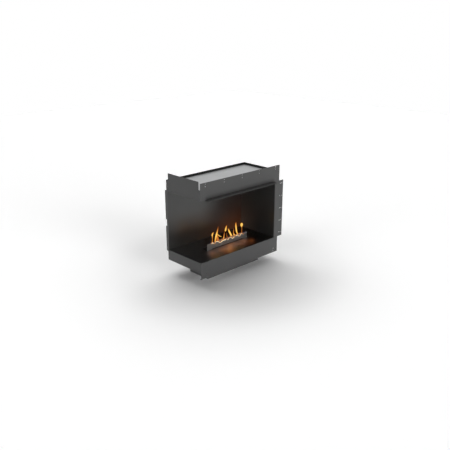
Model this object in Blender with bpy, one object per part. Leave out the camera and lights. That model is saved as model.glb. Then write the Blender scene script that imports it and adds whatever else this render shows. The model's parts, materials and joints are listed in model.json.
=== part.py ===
"""Corner bioethanol fireplace for building into a wall.

A sheet-metal firebox stands open at the front and on its left side. Grey plates frame the
two openings, a double-walled black casing closes the back and the right, and a slim burner
hangs through the floor into a well. Metres, +Z up, front towards -Y, with the origin under
the middle of the whole part. The pieces of the casing are placed from the front left corner
of the sill, at floor height.
"""

import math

import bmesh
import bpy
from mathutils import Matrix, Vector

# Sheets, bends and clearances
SHEET = 0.002
FIT = 0.0003
INSIDE_BEND = 0.0003
BEND_STEPS = 3
CUT_OVERRUN = 0.004
MERGE_DISTANCE = 0.00001

# Firebox and its two openings
OPENING_WIDTH = 0.800
OPENING_HEIGHT = 0.478
SIDE_OPENING_DEPTH = 0.377
FIREBOX_DEPTH = 0.380
CEILING_RISE = 0.012

# Air gaps between the firebox and the casing, and the rim round the top
RIGHT_AIR_GAP = 0.0384
BACK_AIR_GAP = 0.006
TOP_AIR_GAP = 0.050
RIM_RISE = 0.020
FLOOR_EDGE = 0.020
CEILING_EDGE = 0.012
TOP_EDGE = 0.012

# Hood plates over the openings
HOOD_OVERHANG = 0.004
FRONT_HOOD_HEIGHT = 0.1305
SIDE_HOOD_HEIGHT = 0.142
SIDE_HOOD_DEPTH = 0.382
SIDE_HOOD_STEP_HEIGHT = 0.086
SIDE_HOOD_STEP_BACK = 0.018
CORNER_SLOT_WIDTH = 0.0184
CORNER_SLOT_DEPTH = 0.060

# Lip that turns the rising heat away from the hood
LIP_REACH = 0.046
LIP_LEFT = 0.050
LIP_LENGTH = 0.728

# Flanges that the wall boards are screwed to
RIGHT_FLANGE_WIDTH = 0.096
REAR_FLANGE_WIDTH = 0.028
REAR_FLANGE_DROP = 0.009
REAR_FLANGE_RISE = 0.005
REAR_NOTCH_LOW = 0.196
REAR_NOTCH_HEIGHT = 0.054
REAR_NOTCH_DEPTH = 0.012
FLANGE_RETURN = 0.020

# Skirts below the sill
FRONT_SKIRT_DROP = 0.130
SIDE_SKIRT_DROP = 0.082
SKIRT_HEM = 0.015

# Screw holes for the wall boards, in pairs
BOARD_HOLE_RADIUS = 0.0036
BOARD_HOLE_SIDES = 12
BOARD_HOLE_EDGE = 0.010
BOARD_HOLE_PITCH = 0.020
BOARD_COLUMNS = 5
BOARD_COLUMN_MARGIN = 0.050
SKIRT_HOLE_RISE = 0.017
FLANGE_ROWS = 5
FLANGE_ROW_LOW = 0.034
FLANGE_ROW_TOP_MARGIN = 0.0257
FLANGE_HOLE_EDGE = 0.016
FLANGE_HOLE_PITCH = 0.018
LOWER_ROW_RISE = 0.0195
LOWER_ROW_PITCH = 0.159
LOWER_ROW_HOLES = 4
SIDE_HOLE_FRONT = 0.109
SIDE_HOLE_MIDDLE = 0.161
SIDE_HOLE_BACK = 0.268

# Well under the floor, which the burner hangs in
WELL_END_ROOM = 0.062
WELL_WIDTH = 0.209
WELL_DROP = 0.196
WELL_RIM = 0.015
WELL_Y = 0.191

# Rails under the floor
RAIL_WIDTH = 0.020
RAIL_HEIGHT = 0.040
RAIL_ROOM = 0.012

# Spacers, brackets and the corner post between the two walls
SLEEVE_RADIUS = 0.006
SLEEVE_BORE_RADIUS = 0.0027
SPACER_MARGIN = 0.090
BRACKET_WIDTH = 0.030
BRACKET_FOOT = 0.018
SIDE_BRACKET_MARGIN = 0.070
TOP_BRACKET_MARGIN = 0.110
TOP_BRACKET_LENGTH = 0.280
POST_LEG = 0.025

# Screws
SCREW_HEAD_RADIUS = 0.0045
SCREW_HEAD_HEIGHT = 0.0026
SCREW_EDGE_HEIGHT = 0.0010
SCREW_SHANK_RADIUS = 0.0020
SCREW_HOLE_RADIUS = 0.0026
FASTENER_SIDES = 12

# Burner: a tank that hangs through the floor, and the top plate over it
BURNER_OFFSET = 0.023
GUARD_FACE_Y = 0.1577
COLLAR_LENGTH = 0.440
COLLAR_DEPTH = 0.052
TANK_END_INSET = 0.012
TANK_SIDE_INSET = 0.006
TANK_DEPTH = 0.080
TANK_SHEET = 0.0015
TANK_RIM = 0.0035
CUTOUT_CLEARANCE = 0.001
WICK_CLEARANCE = 0.0008
WICK_HEIGHT = 0.046
SLOT_END_INSET = 0.038
SLOT_WIDTH = 0.016
SLOT_SETBACK = 0.0080

# Snuffer: the plate that slides under the slot and puts the flames out
SNUFFER_SHEET = 0.0012
SNUFFER_WIDTH = 0.0185
SNUFFER_OVERLAP = 0.015
SNUFFER_TRAVEL = 0.0175
SNUFFER_SIDE_PLAY = 0.0005
RUNNER_SHEET = 0.0012
RUNNER_HEIGHT = 0.012
KNOB_RADIUS = 0.0058
KNOB_HEIGHT = 0.009
KNOB_LIFT = 0.0022
KNOB_ROUNDING = 0.0015
KNOB_STEM_RADIUS = 0.002
KNOB_SLOT_PLAY = 0.0006
KNOB_SETBACK = 0.0075
KNOB_SIDES = 20

# Guard that stands in front of the flames
GUARD_SHEET = 0.002
GUARD_HEIGHT = 0.052
GUARD_GAP = 0.0046
GUARD_FOOT = 0.052
GUARD_CORNER = 0.006
GUARD_TAB_LENGTH = 0.030
GUARD_TAB_DEPTH = 0.0095
GUARD_TAB_ROOT = 0.001
GUARD_SCREW_HEAD = 0.0028

# Places that follow from the sizes above
INNER_LEFT = SHEET + FIT
INNER_FRONT = SHEET + FIT
CASING_RIGHT = OPENING_WIDTH + SHEET + RIGHT_AIR_GAP + SHEET
CASING_BACK = FIREBOX_DEPTH + SHEET + BACK_AIR_GAP + SHEET
INNER_RIGHT = CASING_RIGHT - SHEET - FIT
INNER_BACK = CASING_BACK - SHEET - FIT
CEILING_UNDER = OPENING_HEIGHT + CEILING_RISE
TOP_FACE = CEILING_UNDER + SHEET + TOP_AIR_GAP + SHEET
RIM_TOP = TOP_FACE + RIM_RISE
UNDER_FLOOR = -SHEET - FIT
HOOD_WIDTH = CASING_RIGHT + HOOD_OVERHANG
OVERALL_WIDTH = OPENING_WIDTH + RIGHT_FLANGE_WIDTH
OVERALL_BACK = SIDE_OPENING_DEPTH + REAR_FLANGE_WIDTH
BURNER_X = OPENING_WIDTH / 2 + BURNER_OFFSET
WELL_LENGTH = COLLAR_LENGTH + 2 * WELL_END_ROOM
WELL_REACH = WELL_LENGTH / 2 + WELL_RIM + RAIL_ROOM
TANK_LENGTH = COLLAR_LENGTH - 2 * TANK_END_INSET
TANK_WIDTH = COLLAR_DEPTH - 2 * TANK_SIDE_INSET
TANK_TOP = FIT + TANK_SHEET
COLLAR_UNDER = TANK_TOP + FIT
COLLAR_TOP = COLLAR_UNDER + SHEET
BURNER_Y = GUARD_FACE_Y + GUARD_SHEET + FIT + COLLAR_DEPTH / 2
COLLAR_FRONT = -COLLAR_DEPTH / 2
SLOT_LENGTH = TANK_LENGTH - 2 * SLOT_END_INSET
SNUFFER_LENGTH = SLOT_LENGTH + 2 * SNUFFER_OVERLAP
SNUFFER_TOP = COLLAR_UNDER - FIT
SNUFFER_BACK = TANK_WIDTH / 2 - TANK_SHEET - SNUFFER_SIDE_PLAY
SNUFFER_OPEN_Y = SNUFFER_BACK - SNUFFER_WIDTH / 2
KNOB_X = SNUFFER_LENGTH / 2 - KNOB_SETBACK

# A facing says which way a flat outline looks: it turns (across, up, deep) into x, y and z
FACINGS = {
    "front": lambda across, up, deep: (across, deep, up),
    "side": lambda across, up, deep: (deep, across, up),
    "level": lambda across, up, deep: (across, up, deep),
}


def spread(first, last, count):
    """Evenly spaced places from first to last."""
    return [first + (last - first) * step / (count - 1) for step in range(count)]


def tone(red, green, blue):
    """A screen colour, 0 to 255, as the linear values that a shader takes."""
    linear = [(channel / 255) ** 2.2 for channel in (red, green, blue)]
    return (*linear, 1.0)


def material(name, colour, roughness, metallic=0.0):
    paint = bpy.data.materials.new(name)
    paint.use_nodes = True
    shader = paint.node_tree.nodes["Principled BSDF"]
    shader.inputs["Base Color"].default_value = colour
    shader.inputs["Roughness"].default_value = roughness
    shader.inputs["Metallic"].default_value = metallic
    paint.diffuse_color = colour
    return paint


def empty(name, location, parent=None):
    anchor = bpy.data.objects.new(name, None)
    anchor.location = location
    anchor.parent = parent
    bpy.context.scene.collection.objects.link(anchor)
    return anchor


def rectangle(left, low, right, high):
    return [(left, low), (right, low), (right, high), (left, high)]


def circle(across, up, radius, sides):
    turns = [2 * math.pi * side / sides for side in range(sides)]
    return [(across + radius * math.cos(turn), up + radius * math.sin(turn)) for turn in turns]


def fillet(corners, radius):
    """An open path whose corners are rounded by short arcs."""
    path = [Vector(corners[0])]
    for before, corner, after in zip(corners, corners[1:], corners[2:]):
        corner = Vector(corner)
        back = (Vector(before) - corner).normalized()
        ahead = (Vector(after) - corner).normalized()
        half = back.angle(ahead) / 2
        centre = corner + (back + ahead).normalized() * (radius / math.sin(half))
        start = corner + back * (radius / math.tan(half)) - centre
        end = corner + ahead * (radius / math.tan(half)) - centre
        for step in range(BEND_STEPS + 1):
            path.append(centre + start.slerp(end, step / BEND_STEPS) * radius)
    path.append(Vector(corners[-1]))
    return path


def folded(corners, thickness):
    """Outline of a bent sheet whose middle runs through the given corners."""
    path = fillet(corners, INSIDE_BEND + thickness / 2)
    left, right = [], []
    for index, point in enumerate(path):
        into = point - path[index - 1] if index else path[1] - point
        out = path[index + 1] - point if index < len(path) - 1 else into
        normals = [Vector((-run.y, run.x)).normalized() for run in (into, out)]
        middle = (normals[0] + normals[1]).normalized()
        reach = middle * (thickness / 2 / middle.dot(normals[0]))
        left.append(point + reach)
        right.append(point - reach)
    return left + right[::-1]


def add_prism(shape, outline, facing, start, length):
    """Adds a solid with the given outline, from start along the facing's depth."""
    turn = FACINGS[facing]
    ring = [shape.verts.new(turn(across, up, start)) for across, up in outline]
    face = shape.faces.new(ring)
    pushed = bmesh.ops.extrude_face_region(shape, geom=[face])["geom"]
    moved = [item for item in pushed if isinstance(item, bmesh.types.BMVert)]
    bmesh.ops.translate(shape, vec=turn(0, 0, length), verts=moved)


def add_tub(shape, size, wall, rim=0.0):
    """Adds an open tub of length, width and depth, hanging from the top of its rim at z = 0."""
    length, width, depth = size
    slab = Matrix.Diagonal((length + 2 * rim, width + 2 * rim, wall, 1))
    place = Matrix.Translation((0, 0, -wall / 2)) @ slab
    corners = bmesh.ops.create_cube(shape, size=1, matrix=place)["verts"]
    faces = {face for corner in corners for face in corner.link_faces}
    under = min(faces, key=lambda face: face.calc_center_median().z)
    over = max(faces, key=lambda face: face.calc_center_median().z)
    if rim:
        bmesh.ops.inset_region(shape, faces=[under], thickness=rim, use_even_offset=True)
    push_face(shape, under, depth - wall)
    bmesh.ops.inset_region(shape, faces=[over], thickness=rim + wall, use_even_offset=True)
    push_face(shape, over, depth - wall)


def push_face(shape, face, drop):
    """Draws a level face down by drop, with walls behind it."""
    pushed = bmesh.ops.extrude_discrete_faces(shape, faces=[face])["faces"][0]
    bmesh.ops.translate(shape, vec=(0, 0, -drop), verts=list(pushed.verts))


def turned_mesh(name, section, sides, paint):
    """Mesh turned about Z from (radius, height) points. A section off the axis makes a ring."""
    shape = bmesh.new()
    path = [shape.verts.new((radius, 0, height)) for radius, height in section]
    pairs = list(zip(path, path[1:]))
    if section[0][0] > 0:
        pairs.append((path[-1], path[0]))
    edges = [shape.edges.new(pair) for pair in pairs]
    bmesh.ops.spin(shape, geom=path + edges, cent=(0, 0, 0), axis=(0, 0, 1),
                   angle=2 * math.pi, steps=sides, use_merge=True)
    bmesh.ops.remove_doubles(shape, verts=shape.verts, dist=MERGE_DISTANCE)
    mesh = to_mesh(name, shape, paint)
    mesh.shade_smooth()
    mesh.set_sharp_from_angle(angle=math.radians(35))
    return mesh


def to_mesh(name, shape, paint):
    bmesh.ops.recalc_face_normals(shape, faces=shape.faces)
    mesh = bpy.data.meshes.new(name)
    shape.to_mesh(mesh)
    shape.free()
    mesh.materials.append(paint)
    return mesh


def put(name, mesh, parent, location=(0, 0, 0), rotation=(0, 0, 0)):
    """Stands a mesh in the scene as an object of its own."""
    piece = bpy.data.objects.new(name, mesh)
    piece.location = location
    piece.rotation_euler = rotation
    piece.parent = parent
    bpy.context.scene.collection.objects.link(piece)
    return piece


def make(name, shape, paint, parent, location=(0, 0, 0)):
    return put(name, to_mesh(name, shape, paint), parent, location)


def combine(piece, shape, operation="DIFFERENCE"):
    """Cuts a shape out of a piece, or joins it on with a UNION."""
    tool = make(piece.name + "_" + operation.lower(), shape, piece.data.materials[0], piece)
    tool.hide_render = True
    tool.display_type = "WIRE"
    modifier = piece.modifiers.new(operation.lower(), "BOOLEAN")
    modifier.object = tool
    modifier.operation = operation


def drill(piece, places, facing, radius, sides=BOARD_HOLE_SIDES, start=0.0, depth=SHEET):
    """Round holes through a sheet that lies from start to start + depth."""
    shape = bmesh.new()
    for across, up in places:
        outline = circle(across, up, radius, sides)
        add_prism(shape, outline, facing, start - CUT_OVERRUN, depth + 2 * CUT_OVERRUN)
    combine(piece, shape)


def plate(name, outline, facing, paint, parent, location, thickness=SHEET):
    """A flat sheet with the given outline."""
    shape = bmesh.new()
    add_prism(shape, outline, facing, 0, thickness)
    return make(name, shape, paint, parent, location)


def profile(name, corners, facing, length, paint, parent, location, thickness=SHEET):
    """A bent sheet of the same section all along its length."""
    shape = bmesh.new()
    add_prism(shape, folded(corners, thickness), facing, 0, length)
    return make(name, shape, paint, parent, location)


def screw_mesh(name, head_radius, shank_length, paint):
    """A domed screw whose head rests on z = 0 and whose shank hangs below."""
    section = [(0, -shank_length), (SCREW_SHANK_RADIUS, -shank_length), (SCREW_SHANK_RADIUS, 0),
               (head_radius, 0), (head_radius, SCREW_EDGE_HEIGHT),
               (head_radius / 2, SCREW_HEAD_HEIGHT), (0, SCREW_HEAD_HEIGHT)]
    return turned_mesh(name, section, FASTENER_SIDES, paint)


def put_copies(name, mesh, places, direction, parent):
    """Objects that share a turned mesh, seated at places with their heads along direction."""
    facing = Vector(direction)
    rotation = facing.to_track_quat("Z", "Y").to_euler()
    return [put(f"{name}_{count}", mesh, parent, Vector(place) + facing * FIT, rotation)
            for count, place in enumerate(places, 1)]


def board_columns():
    return spread(BOARD_COLUMN_MARGIN, HOOD_WIDTH - BOARD_COLUMN_MARGIN, BOARD_COLUMNS)


def build_hood(casing, grey):
    """The plates over the two openings, joined at the corner, and the lip under the front one."""
    front = plate("hood_front_plate", rectangle(0, 0, HOOD_WIDTH, FRONT_HOOD_HEIGHT),
                  "front", grey, casing, (0, 0, OPENING_HEIGHT))
    rows = [FRONT_HOOD_HEIGHT - BOARD_HOLE_EDGE - BOARD_HOLE_PITCH * row for row in range(2)]
    places = [(column, row) for column in board_columns() for row in rows]
    reach = LOWER_ROW_PITCH * (LOWER_ROW_HOLES - 1) / 2
    columns = spread(HOOD_WIDTH / 2 - reach, HOOD_WIDTH / 2 + reach, LOWER_ROW_HOLES)
    places += [(column, LOWER_ROW_RISE) for column in columns]
    drill(front, places, "front", BOARD_HOLE_RADIUS)

    slot_floor = SIDE_HOOD_HEIGHT - CORNER_SLOT_DEPTH
    step = SIDE_HOOD_DEPTH - SIDE_HOOD_STEP_BACK
    outline = [(INNER_FRONT, 0), (SIDE_HOOD_DEPTH, 0), (SIDE_HOOD_DEPTH, SIDE_HOOD_STEP_HEIGHT),
               (step, SIDE_HOOD_STEP_HEIGHT), (step, SIDE_HOOD_HEIGHT),
               (CORNER_SLOT_WIDTH, SIDE_HOOD_HEIGHT), (CORNER_SLOT_WIDTH, slot_floor),
               (INNER_FRONT, slot_floor)]
    side = plate("hood_side_plate", outline, "side", grey, casing, (0, 0, OPENING_HEIGHT))
    columns = (SIDE_HOLE_FRONT, SIDE_HOLE_MIDDLE, SIDE_HOLE_BACK)
    drill(side, [(column, LOWER_ROW_RISE) for column in columns], "side", BOARD_HOLE_RADIUS)

    leg = INNER_FRONT + SHEET / 2
    root = OPENING_HEIGHT - FIT - SHEET / 2
    corners = [(leg, CEILING_UNDER - FIT), (leg, root), (-LIP_REACH, root)]
    profile("heat_deflector", corners, "side", LIP_LENGTH, grey, casing, (LIP_LEFT, 0, 0))


def build_flanges(casing, grey):
    """Flanges beside the openings, where the wall boards end."""
    top = OPENING_HEIGHT - FIT
    right = plate("right_plaster_flange", rectangle(0, FIT, RIGHT_FLANGE_WIDTH, top),
                  "front", grey, casing, (OPENING_WIDTH, 0, 0))
    columns = [RIGHT_FLANGE_WIDTH - FLANGE_HOLE_EDGE - FLANGE_HOLE_PITCH * hole
               for hole in range(2)]
    rows = spread(FLANGE_ROW_LOW, top - FLANGE_ROW_TOP_MARGIN, FLANGE_ROWS)
    drill(right, [(column, row) for column in columns for row in rows],
          "front", BOARD_HOLE_RADIUS)

    inner = SIDE_OPENING_DEPTH
    beside = SIDE_HOOD_DEPTH + FIT
    outer = SIDE_OPENING_DEPTH + REAR_FLANGE_WIDTH
    notch_top = REAR_NOTCH_LOW + REAR_NOTCH_HEIGHT
    notch = outer - REAR_NOTCH_DEPTH
    raised = top + REAR_FLANGE_RISE
    outline = [(inner, FIT), (beside, FIT), (beside, -REAR_FLANGE_DROP),
               (outer, -REAR_FLANGE_DROP), (outer, REAR_NOTCH_LOW), (notch, REAR_NOTCH_LOW),
               (notch, notch_top), (outer, notch_top), (outer, raised), (beside, raised),
               (beside, top), (inner, top)]
    plate("rear_plaster_flange", outline, "side", grey, casing, (0, 0, 0))


def build_skirts(casing, grey):
    """Plates below the sill, each with a hem along its lower edge."""
    middle = SHEET / 2
    corners = [(middle, 0), (middle, middle - FRONT_SKIRT_DROP),
               (SKIRT_HEM, middle - FRONT_SKIRT_DROP)]
    front = profile("front_skirt", corners, "side", CASING_RIGHT, grey, casing, (0, 0, 0))
    rows = [SKIRT_HOLE_RISE - FRONT_SKIRT_DROP + BOARD_HOLE_PITCH * row for row in range(2)]
    drill(front, [(column, row) for column in board_columns() for row in rows],
          "front", BOARD_HOLE_RADIUS)

    corners = [(middle, 0), (middle, middle - SIDE_SKIRT_DROP),
               (SKIRT_HEM, middle - SIDE_SKIRT_DROP)]
    profile("side_skirt", corners, "front", SIDE_HOOD_DEPTH - INNER_FRONT, grey, casing,
            (0, INNER_FRONT, 0))


def build_tray(name, top, edge, opens_up, paint, casing):
    """A level panel that fills the casing, with its four edges turned up or down."""
    size = (INNER_RIGHT - INNER_LEFT, INNER_BACK - INNER_FRONT, edge)
    shape = bmesh.new()
    add_tub(shape, size, SHEET)
    if not opens_up:
        bmesh.ops.rotate(shape, matrix=Matrix.Rotation(math.pi, 3, "X"), verts=shape.verts)
    middle = ((INNER_LEFT + INNER_RIGHT) / 2, (INNER_FRONT + INNER_BACK) / 2)
    lift = top if opens_up else top - edge
    return make(name, shape, paint, casing, (*middle, lift))


def build_firebox(casing, black):
    """The inner box that the fire burns in."""
    floor = build_tray("floor_panel", 0, FLOOR_EDGE, False, black, casing)
    reach_x = TANK_LENGTH / 2 + CUTOUT_CLEARANCE
    reach_y = TANK_WIDTH / 2 + CUTOUT_CLEARANCE
    across, back = BURNER_X - floor.location.x, BURNER_Y - floor.location.y
    opening = bmesh.new()
    outline = rectangle(across - reach_x, back - reach_y, across + reach_x, back + reach_y)
    add_prism(opening, outline, "level", FLOOR_EDGE - SHEET - CUT_OVERRUN,
              SHEET + 2 * CUT_OVERRUN)
    combine(floor, opening)

    build_tray("ceiling_panel", CEILING_UNDER + CEILING_EDGE, CEILING_EDGE, True, black, casing)
    outline = rectangle(INNER_LEFT, FIT, OPENING_WIDTH + SHEET, CEILING_UNDER - FIT)
    plate("inner_back_panel", outline, "front", black, casing, (0, FIREBOX_DEPTH, 0))
    wall = OPENING_WIDTH + SHEET / 2
    front = INNER_FRONT + SHEET / 2
    corners = [(wall, FIREBOX_DEPTH - FIT), (wall, front), (OPENING_WIDTH + FLANGE_RETURN, front)]
    profile("inner_right_panel", corners, "level", CEILING_UNDER - 2 * FIT, black, casing,
            (0, 0, FIT))


def spacer_places():
    """Middles of the sleeves between the two back walls, seen from the front."""
    return [(column, row) for column in (SPACER_MARGIN, OPENING_WIDTH - SPACER_MARGIN)
            for row in (SPACER_MARGIN, CEILING_UNDER - SPACER_MARGIN)]


def bracket_places():
    """Middles of the brackets between the two right walls, seen from the side."""
    return [(depth, height)
            for depth in (SIDE_BRACKET_MARGIN, FIREBOX_DEPTH - SIDE_BRACKET_MARGIN)
            for height in (SPACER_MARGIN, CEILING_UNDER - SPACER_MARGIN)]


def build_casing(casing, satin, zinc):
    """The outer walls and the top of the built-in casing."""
    outline = rectangle(INNER_LEFT, -SIDE_SKIRT_DROP, CASING_RIGHT, RIM_TOP)
    back = plate("outer_back_panel", outline, "front", satin, casing,
                 (0, CASING_BACK - SHEET, 0))
    drill(back, spacer_places(), "front", SCREW_HOLE_RADIUS)
    outline = rectangle(INNER_FRONT, -SIDE_SKIRT_DROP, CASING_BACK - SHEET - FIT, RIM_TOP)
    right = plate("outer_right_panel", outline, "side", satin, casing,
                  (CASING_RIGHT - SHEET, 0, 0))
    drill(right, bracket_places(), "side", SCREW_HOLE_RADIUS)
    build_tray("top_panel", TOP_FACE, TOP_EDGE, False, zinc, casing)

    near, far = INNER_RIGHT - SHEET / 2, INNER_BACK - SHEET / 2
    corners = [(INNER_RIGHT - POST_LEG, far), (near, far), (near, INNER_BACK - POST_LEG)]
    profile("rear_corner_post", corners, "level", CEILING_UNDER - 2 * FIT, zinc, casing,
            (0, 0, FIT))


def build_spacers(casing, zinc):
    """Sleeves and brackets that hold the firebox away from the casing."""
    height = BACK_AIR_GAP - 2 * FIT
    section = [(SLEEVE_BORE_RADIUS, 0), (SLEEVE_RADIUS, 0), (SLEEVE_RADIUS, height),
               (SLEEVE_BORE_RADIUS, height)]
    sleeve = turned_mesh("back_spacer", section, FASTENER_SIDES, zinc)
    places = [(column, FIREBOX_DEPTH + SHEET, row) for column, row in spacer_places()]
    put_copies("back_spacer", sleeve, places, (0, 1, 0), casing)

    near = OPENING_WIDTH + SHEET + FIT + SHEET / 2
    far = CASING_RIGHT - SHEET - FIT - SHEET / 2
    half = BRACKET_FOOT / 2
    corners = [(near, half), (near, -half), (far, -half), (far, half)]
    for count, (depth, height) in enumerate(bracket_places(), 1):
        bracket = profile(f"side_bracket_{count}", corners, "level", BRACKET_WIDTH, zinc, casing,
                          (0, depth, height - BRACKET_WIDTH / 2))
        drill(bracket, [(0, BRACKET_WIDTH / 2)], "side", SCREW_HOLE_RADIUS, FASTENER_SIDES,
              far - SHEET / 2, SHEET)

    low = CEILING_UNDER + SHEET + FIT + SHEET / 2
    high = TOP_FACE - SHEET - FIT - SHEET / 2
    corners = [(BRACKET_FOOT, low), (0, low), (0, high), (BRACKET_FOOT, high)]
    start = (CASING_BACK - TOP_BRACKET_LENGTH) / 2
    right = CASING_RIGHT - TOP_BRACKET_MARGIN
    for name, across in (("top_bracket_left", TOP_BRACKET_MARGIN), ("top_bracket_right", right)):
        profile(name, corners, "front", TOP_BRACKET_LENGTH, zinc, casing, (across, start, 0))


def build_underside(casing, grey, zinc):
    """The rails under the floor and the well round the burner's tank."""
    middle = SHEET / 2
    corners = [(RAIL_WIDTH, -middle), (middle, -middle), (middle, middle - RAIL_HEIGHT),
               (RAIL_WIDTH, middle - RAIL_HEIGHT)]
    start = INNER_FRONT + SHEET + FIT
    length = INNER_BACK - SHEET - FIT - start
    places = {"floor_rail_left": BURNER_X - WELL_REACH - RAIL_WIDTH,
              "floor_rail_right": BURNER_X + WELL_REACH}
    for name, across in places.items():
        profile(name, corners, "front", length, zinc, casing, (across, start, UNDER_FLOOR))

    well = bmesh.new()
    add_tub(well, (WELL_LENGTH, WELL_WIDTH, WELL_DROP + UNDER_FLOOR), SHEET, WELL_RIM)
    well = make("burner_well", well, grey, casing, (BURNER_X, WELL_Y, UNDER_FLOOR))
    drill(well, well_screw_places(), "level", SCREW_HOLE_RADIUS, FASTENER_SIDES, -SHEET)


def well_screw_places():
    """Screws near the ends of the two long rims of the well, from its middle."""
    reach_x = (WELL_LENGTH - WELL_RIM) / 2
    reach_y = (WELL_WIDTH + WELL_RIM) / 2
    return [(column, row) for column in (-reach_x, reach_x) for row in (-reach_y, reach_y)]


def build_fasteners(casing, steel):
    """Screws of the casing."""
    through = SHEET + BACK_AIR_GAP - FIT
    screw = screw_mesh("back_screw", SCREW_HEAD_RADIUS, through, steel)
    places = [(column, CASING_BACK, row) for column, row in spacer_places()]
    put_copies("back_screw", screw, places, (0, 1, 0), casing)

    screw = screw_mesh("side_screw", SCREW_HEAD_RADIUS, 2 * SHEET, steel)
    places = [(CASING_RIGHT, depth, height) for depth, height in bracket_places()]
    put_copies("side_screw", screw, places, (1, 0, 0), casing)

    screw = screw_mesh("well_screw", SCREW_HEAD_RADIUS, SHEET, steel)
    places = [(BURNER_X + column, WELL_Y + row, UNDER_FLOOR - SHEET)
              for column, row in well_screw_places()]
    put_copies("well_screw", screw, places, (0, 0, -1), casing)


def slot_outline(left, low, right, high, steps):
    """A long hole with round ends, along the longer of its two sides."""
    if right - left > high - low:
        radius = (high - low) / 2
        ends = [(right - radius, low + radius, -math.pi / 2),
                (left + radius, low + radius, math.pi / 2)]
    else:
        radius = (right - left) / 2
        ends = [(left + radius, high - radius, 0), (left + radius, low + radius, math.pi)]
    return [(across + radius * math.cos(start + math.pi * step / steps),
             up + radius * math.sin(start + math.pi * step / steps))
            for across, up, start in ends for step in range(steps + 1)]


def guard_screw_places():
    """Middles of the two guard screws, from the middle of the burner."""
    reach = COLLAR_LENGTH / 2 - GUARD_FOOT / 2
    depth = COLLAR_FRONT + GUARD_TAB_DEPTH / 2
    return [(-reach, depth), (reach, depth)]


def build_burner(burner, stainless, satin, fibre, steel):
    """The tank, its absorbent filling and the top plate that rests on the floor."""
    tank = bmesh.new()
    add_tub(tank, (TANK_LENGTH, TANK_WIDTH, TANK_DEPTH), TANK_SHEET, TANK_RIM)
    make("burner_tank", tank, stainless, burner, (0, 0, TANK_TOP))

    reach_x = TANK_LENGTH / 2 - TANK_SHEET - WICK_CLEARANCE
    reach_y = TANK_WIDTH / 2 - TANK_SHEET - WICK_CLEARANCE
    wick_bottom = TANK_TOP - TANK_DEPTH + TANK_SHEET + FIT
    plate("ceramic_wick", rectangle(-reach_x, -reach_y, reach_x, reach_y), "level", fibre,
          burner, (0, 0, wick_bottom), WICK_HEIGHT)

    height = COLLAR_TOP - FIT
    shape = bmesh.new()
    add_tub(shape, (COLLAR_LENGTH, COLLAR_DEPTH, height), SHEET)
    bmesh.ops.rotate(shape, matrix=Matrix.Rotation(math.pi, 3, "X"), verts=shape.verts)
    collar = make("burner_top_plate", shape, satin, burner, (0, 0, FIT))
    slots = bmesh.new()
    start, depth = COLLAR_UNDER - FIT - CUT_OVERRUN / 2, SHEET + CUT_OVERRUN
    slot_front = COLLAR_FRONT + SLOT_SETBACK
    outline = slot_outline(-SLOT_LENGTH / 2, slot_front, SLOT_LENGTH / 2,
                           slot_front + SLOT_WIDTH, BOARD_HOLE_SIDES)
    add_prism(slots, outline, "level", start, depth)
    side = KNOB_STEM_RADIUS + KNOB_SLOT_PLAY
    outline = slot_outline(KNOB_X - side, SNUFFER_OPEN_Y - SNUFFER_TRAVEL - side,
                           KNOB_X + side, SNUFFER_OPEN_Y + side, BOARD_HOLE_SIDES)
    add_prism(slots, outline, "level", start, depth)
    for across, back in guard_screw_places():
        outline = circle(across, back, SCREW_HOLE_RADIUS, BOARD_HOLE_SIDES)
        add_prism(slots, outline, "level", start, depth)
    combine(collar, slots)

    build_guard(burner, stainless, steel)


def build_guard(burner, stainless, steel):
    """The upright plate in front of the flames, on two feet with a tab behind each."""
    half, top = COLLAR_LENGTH / 2, FIT + GUARD_HEIGHT
    upper = [(-half, FIT), (-half, top), (half, top), (half, FIT)]
    outline = [tuple(point) for point in fillet(upper, GUARD_CORNER)]
    outline += [(half - GUARD_FOOT, FIT), (half - GUARD_FOOT, GUARD_GAP),
                (GUARD_FOOT - half, GUARD_GAP), (GUARD_FOOT - half, FIT)]
    front = COLLAR_FRONT - FIT - GUARD_SHEET
    guard = plate("guard_plate", outline, "front", stainless, burner, (0, front, 0),
                  GUARD_SHEET)
    tabs = bmesh.new()
    root = GUARD_SHEET - GUARD_TAB_ROOT
    tip = FIT + GUARD_SHEET + GUARD_TAB_DEPTH
    for across, _ in guard_screw_places():
        outline = rectangle(across - GUARD_TAB_LENGTH / 2, root,
                            across + GUARD_TAB_LENGTH / 2, tip)
        add_prism(tabs, outline, "level", COLLAR_TOP + FIT, GUARD_SHEET)
    combine(guard, tabs, "UNION")
    places = [(across, back - front) for across, back in guard_screw_places()]
    drill(guard, places, "level", SCREW_HOLE_RADIUS, start=COLLAR_TOP + FIT, depth=GUARD_SHEET)
    screw = screw_mesh("guard_screw", GUARD_SCREW_HEAD, GUARD_SHEET + SHEET, steel)
    seat = COLLAR_TOP + FIT + GUARD_SHEET
    put_copies("guard_screw", screw, [(*place, seat) for place in guard_screw_places()],
               (0, 0, 1), burner)


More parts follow.
